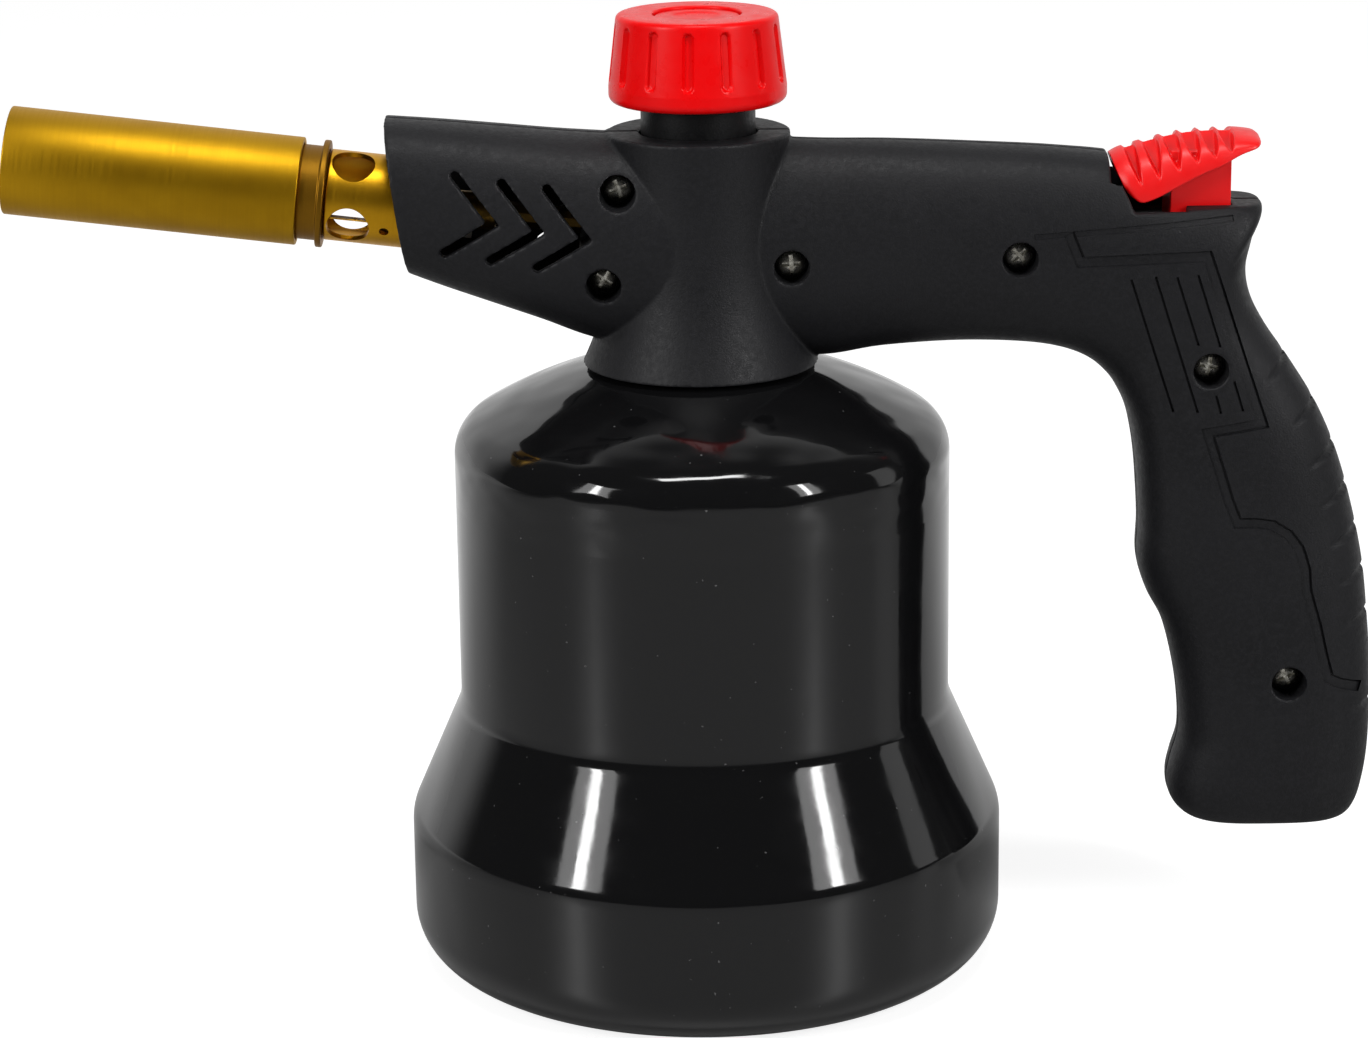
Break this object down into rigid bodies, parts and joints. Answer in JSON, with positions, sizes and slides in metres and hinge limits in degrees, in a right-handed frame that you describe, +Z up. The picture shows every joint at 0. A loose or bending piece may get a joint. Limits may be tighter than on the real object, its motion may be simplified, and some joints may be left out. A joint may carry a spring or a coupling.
{
  "type": "gas soldering torch",
  "caption": "Hand-held gas soldering torch: brass burner and pistol-grip housing with red valve knob and ignition button, on a black flared canister that holds a pierceable gas cartridge.",
  "frame": {"origin": "centre of the underside of the base cap's grip bar, on the canister's axis, in the plane that the torch stands on", "axes": "+Z up along the canister's axis, +X from the valve towards the pistol grip (the burner points to -X), +Y away from the side that holds the screw heads"},
  "size_m": [0.2584, 0.1142, 0.1833],
  "materials": {
    "canister_paint": "high gloss black",
    "base_plastic": "moulded, satin",
    "rubber": "matt",
    "cartridge_paint": "plain grey, semi-gloss",
    "inner_steel": "plated, satin",
    "valve_brass": "turned, dull",
    "spindle_brass": "turned",
    "sleeve_plastic": "moulded, satin",
    "knob_plastic": "moulded, glossy red",
    "button_plastic": "moulded, glossy red",
    "zinc_screws": "bright zinc plate",
    "housing_plastic": "moulded, fine matt grain",
    "grey_plastic": "moulded",
    "lead_insulation": "satin insulation",
    "ceramic": "glazed ceramic",
    "jet_brass": "turned",
    "tube_brass": "drawn tube, dull",
    "collar_brass": "turned, dull",
    "cup_brass": "brushed round the tube",
    "holder_brass": "turned, heat-dulled"
  },
  "bodies": {
    "torch": {"canister": "canister_paint", "gas_cartridge": "cartridge_paint", "cartridge_seal": "rubber", "stem_gasket": "rubber", "piercing_needle": "inner_steel", "neck_nut": "inner_steel", "valve_body": "valve_brass", "gland_nut": "spindle_brass", "spindle_o_ring": "rubber", "valve_sleeve": "sleeve_plastic", "housing_front": "housing_plastic", "housing_rear": "housing_plastic", "housing_screw_1": "zinc_screws", "housing_screw_2": "zinc_screws", "housing_screw_3": "zinc_screws", "housing_screw_4": "zinc_screws", "housing_screw_5": "zinc_screws", "housing_screw_6": "zinc_screws", "piezo_igniter": "grey_plastic", "piezo_spring": "inner_steel", "ignition_lead": "lead_insulation", "earth_lead": "lead_insulation", "electrode_insulator": "ceramic", "spark_electrode": "inner_steel", "gas_pipe": "valve_brass", "jet_holder": "jet_brass", "gas_jet": "jet_brass", "burner_tube": "tube_brass", "burner_collar": "collar_brass", "burner_cup": "cup_brass", "flame_holder": "holder_brass"},
    "knob": {"knob": "knob_plastic", "knob_cap": "knob_plastic", "knob_screw": "zinc_screws", "valve_spindle": "spindle_brass"},
    "trigger": {"ignition_button": "button_plastic", "piezo_plunger": "inner_steel"},
    "base": {"base_cap": "base_plastic", "cartridge_pad": "rubber"}
  },
  "joints": [
    {"name": "knob_turn", "type": "hinge", "parent": "torch", "child": "knob", "pos_m": [0, 0, 0.17], "axis": [0, 0, 1], "range_deg": [0, 540]},
    {"name": "ignition_press", "type": "slide", "parent": "torch", "child": "trigger", "axis": [0, 0, -1], "range_m": [0, 0.0045], "stiffness_N_per_m": 1500, "springref_m": -0.003, "deforming": ["piezo_spring"]},
    {"name": "base_lock", "type": "hinge", "parent": "torch", "child": "base", "pos_m": [0, 0, 0.005], "axis": [0, 0, 1], "range_deg": [-40, 0]}
  ]
}
